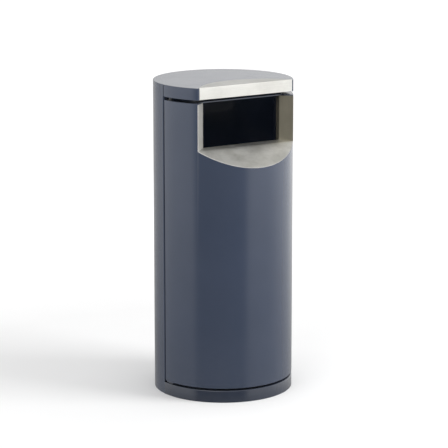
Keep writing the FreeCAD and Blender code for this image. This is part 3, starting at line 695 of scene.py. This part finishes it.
def make_tray():
    """Ashtray trough with pressed corners and a rounded foot."""
    front, back = TRAY_FRONT, TRAY_HIGH.y
    half, low, top = TRAY_HIGH.x, TRAY_LOW.z, TRAY_HIGH.z
    foot_r, corner_r = 0.009, 0.008

    def loop(inset, corner, z):
        """A rounded rectangle at height z."""
        points = []
        for sx, sy, start in ((1, 1, 0), (-1, 1, 90), (-1, -1, 180), (1, -1, 270)):
            cx = sx * (half - inset - corner)
            cy = (back - inset - corner) if sy > 0 else (front + inset + corner)
            for i in range(7):
                turn = math.radians(start + 15 * i)
                points.append((cx + corner * math.cos(turn), cy + corner * math.sin(turn), z))
        return points

    rows = []
    for i in range(7):
        turn = math.radians(15 * i)
        corner = corner_r * 0.5 * (1 + math.sin(turn))
        rows.append(loop(foot_r * (1 - math.sin(turn)), corner, low + foot_r * (1 - math.cos(turn))))
    rows.append(loop(0.0, corner_r, top))
    bm = bmesh.new()
    made = add_grid(bm, rows, closed=True)
    bm.faces.new(list(reversed(made[0])))
    finish_piece(bm, "ashtray", STEEL_X, "ashtray", ("ashtray_tray",), THIN, THIN_BEVEL)


def make_tray_hook():
    """The ashtray's front rim, turned over to hang in the channel."""
    top = TRAY_HIGH.z
    tip = (HOOK_Y, top - HOOK_DROP)
    bend = turned_corner((TRAY_FRONT, top), (HOOK_Y, top), tip, 0.0018, 5)
    profile = [(TRAY_FRONT + 0.0004, top)] + bend + [tip]
    bm = bmesh.new()
    add_grid(bm, [[(x, y, z) for x in (HOOK_HALF, -HOOK_HALF)] for y, z in profile])
    finish_piece(bm, "ashtray_hook", STEEL_X, "ashtray", thickness=THIN, bevel=THIN_BEVEL)


make_shell_back()
make_base_ring()
make_lid_plate()
make_lid_front()
make_lid_trim()
make_door()
make_sill()
make_cheek(1)
make_cheek(-1)
make_liner()
make_bucket_seam()
make_tray()
make_tray_hook()


# ---- CAD nodes that stay -------------------------------------------------------------------------
KEPT = {
    "base_plate": PAINT, "door_bottom_rib": PAINT, "door_top_rib": PAINT,
    "lower_hinge_bracket": PAINT, "upper_hinge_bracket": PAINT, "trim_nuts": ZINC, "strike_plate": ZINC,
    "strike_screws": ZINC, "hook_cam": ZINC, "cam_screw": ZINC, "lock_nut": ZINC,
    # the pins take the darkened steel: painted shade in the hinge gap
    "lower_hinge_pin": TURNED_PAINTED_SHADE, "upper_hinge_pin": TURNED_PAINTED_SHADE,
    "lower_hinge_bush": NYLON, "upper_hinge_bush": NYLON,
    "lock_housing": CHROME, "lock_plug": CHROME, "door_buffers": RUBBER,
    "ashtray_hanger": STEEL_X, "liner_ears": GALVANISED, "liner_guides": GALVANISED, "liner_handle": WIRE,
}
for node, material in KEPT.items():
    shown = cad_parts[node]
    if not shown.material_slots:
        shown.data.materials.append(material)
    for held in shown.material_slots:
        held.material = material


# ---- studio --------------------------------------------------------------------------------------
AZIMUTH = math.radians(-32.3)
ELEVATION = math.radians(12.3)
DISTANCE = 6.11
SKY_LEVEL = 0.85
LOW_LEVEL = 0.20                                # what the sides of the casing reflect near its foot
BACKDROP_LEVEL = 1.05
TO_CAMERA = Vector((math.sin(AZIMUTH), -math.cos(AZIMUTH), 0))
RIGHTWARDS = Vector((math.cos(AZIMUTH), math.sin(AZIMUTH), 0))
AIM = RIGHTWARDS * 0.0025 + UP * 0.477


def make_camera():
    """A long lens a little under 1.8 m above the ground, pitched down at the bin."""
    camera = bpy.data.objects.new("camera", bpy.data.cameras.new("camera"))
    camera.data.lens = 170.0
    camera.data.sensor_width = 36.0
    back = TO_CAMERA * math.cos(ELEVATION) + UP * math.sin(ELEVATION)
    camera.location = AIM + back * DISTANCE
    camera.rotation_mode = "QUATERNION"
    camera.rotation_quaternion = (-back).to_track_quat("-Z", "Y")
    bpy.context.scene.collection.objects.link(camera)
    bpy.context.scene.camera = camera


def make_floor():
    """A wide disc of white paper. Mirror-like surfaces see the soft surroundings instead of it."""
    bm = bmesh.new()
    bmesh.ops.create_circle(bm, cap_ends=True, segments=96, radius=30.0)
    mesh = bpy.data.meshes.new("floor")
    bm.to_mesh(mesh)
    bm.free()
    floor = bpy.data.objects.new("floor", mesh)
    mesh.materials.append(floor_paper())
    bpy.context.scene.collection.objects.link(floor)
    floor.visible_glossy = False


def soft_light(name, place, aim, size, watts, glossy=True):
    """A rectangular lamp. One that isn't glossy lights the bin but isn't mirrored in it."""
    light = bpy.data.lights.new(name, "AREA")
    light.shape = "RECTANGLE"
    light.size, light.size_y = size
    light.energy = watts
    lamp = bpy.data.objects.new(name, light)
    lamp.location = place
    lamp.rotation_mode = "QUATERNION"
    lamp.rotation_quaternion = (Vector(aim) - Vector(place)).to_track_quat("-Z", "Y")
    lamp.visible_glossy = glossy
    bpy.context.scene.collection.objects.link(lamp)


def make_world():
    """White all round. Dim towards the photographer's side, behind to the left and low down,
    and brighter behind to the right."""
    world = bpy.data.worlds.new("studio")
    bpy.context.scene.world = world
    world.use_nodes = True
    nodes = Nodes(world.node_tree)
    direction = nodes.add("ShaderNodeTexCoord").outputs["Generated"]

    def along(vector, start, end, low, high):
        """Goes softly from low to high as the direction turns towards the vector."""
        dot = nodes.add("ShaderNodeVectorMath", operation="DOT_PRODUCT")
        dot.inputs[1].default_value = vector
        nodes.join(direction, dot.inputs[0])
        return nodes.ramp(dot.outputs["Value"], low, high, start, end, "SMOOTHSTEP")

    towards = (TO_CAMERA - RIGHTWARDS * 0.06).normalized()
    behind_left = -(RIGHTWARDS * 0.55 + TO_CAMERA * 0.83)
    behind_right = RIGHTWARDS * 0.83 - TO_CAMERA * 0.55
    near = along(towards, 0.62, 0.80, 0.0, 1.0)
    dim = nodes.math("MULTIPLY", near, along(UP, 0.02, 0.28, 0.78, 0.0))
    level = nodes.math("SUBTRACT", SKY_LEVEL, dim)
    level = nodes.math("SUBTRACT", level, along(behind_left, 0.75, 0.98, 0.0, 0.34))
    level = nodes.math("ADD", level, along(behind_right, 0.70, 0.97, 0.0, 0.25))
    low = along(UP, -0.30, -0.16, 0.80, 0.0)
    above = nodes.math("MULTIPLY", level, nodes.math("SUBTRACT", 1.0, low))
    level = nodes.math("ADD", above, nodes.math("MULTIPLY", low, LOW_LEVEL))
    camera_ray = nodes.add("ShaderNodeLightPath").outputs["Is Camera Ray"]
    lighting = nodes.math("MULTIPLY", level, nodes.math("SUBTRACT", 1.0, camera_ray))
    shown = nodes.math("ADD", lighting, nodes.math("MULTIPLY", camera_ray, BACKDROP_LEVEL))
    back = nodes.tree.nodes["Background"]
    nodes.join(shown, back.inputs["Strength"])
    back.inputs["Color"].default_value = (1, 1, 1, 1)


make_camera()
make_floor()
make_world()
KEY_PLACE = RIGHTWARDS * 2.5 + TO_CAMERA * 0.7 + UP * 2.4
FILL_PLACE = TO_CAMERA * 2.6 - RIGHTWARDS * 1.4 + UP * 3.0
soft_light("key", KEY_PLACE, (0, 0, 0.4), (1.4, 1.4), 60, glossy=False)
soft_light("fill", FILL_PLACE, (0, 0, 0.5), (2.2, 2.2), 22)
bpy.context.scene.view_settings.view_transform = "Standard"
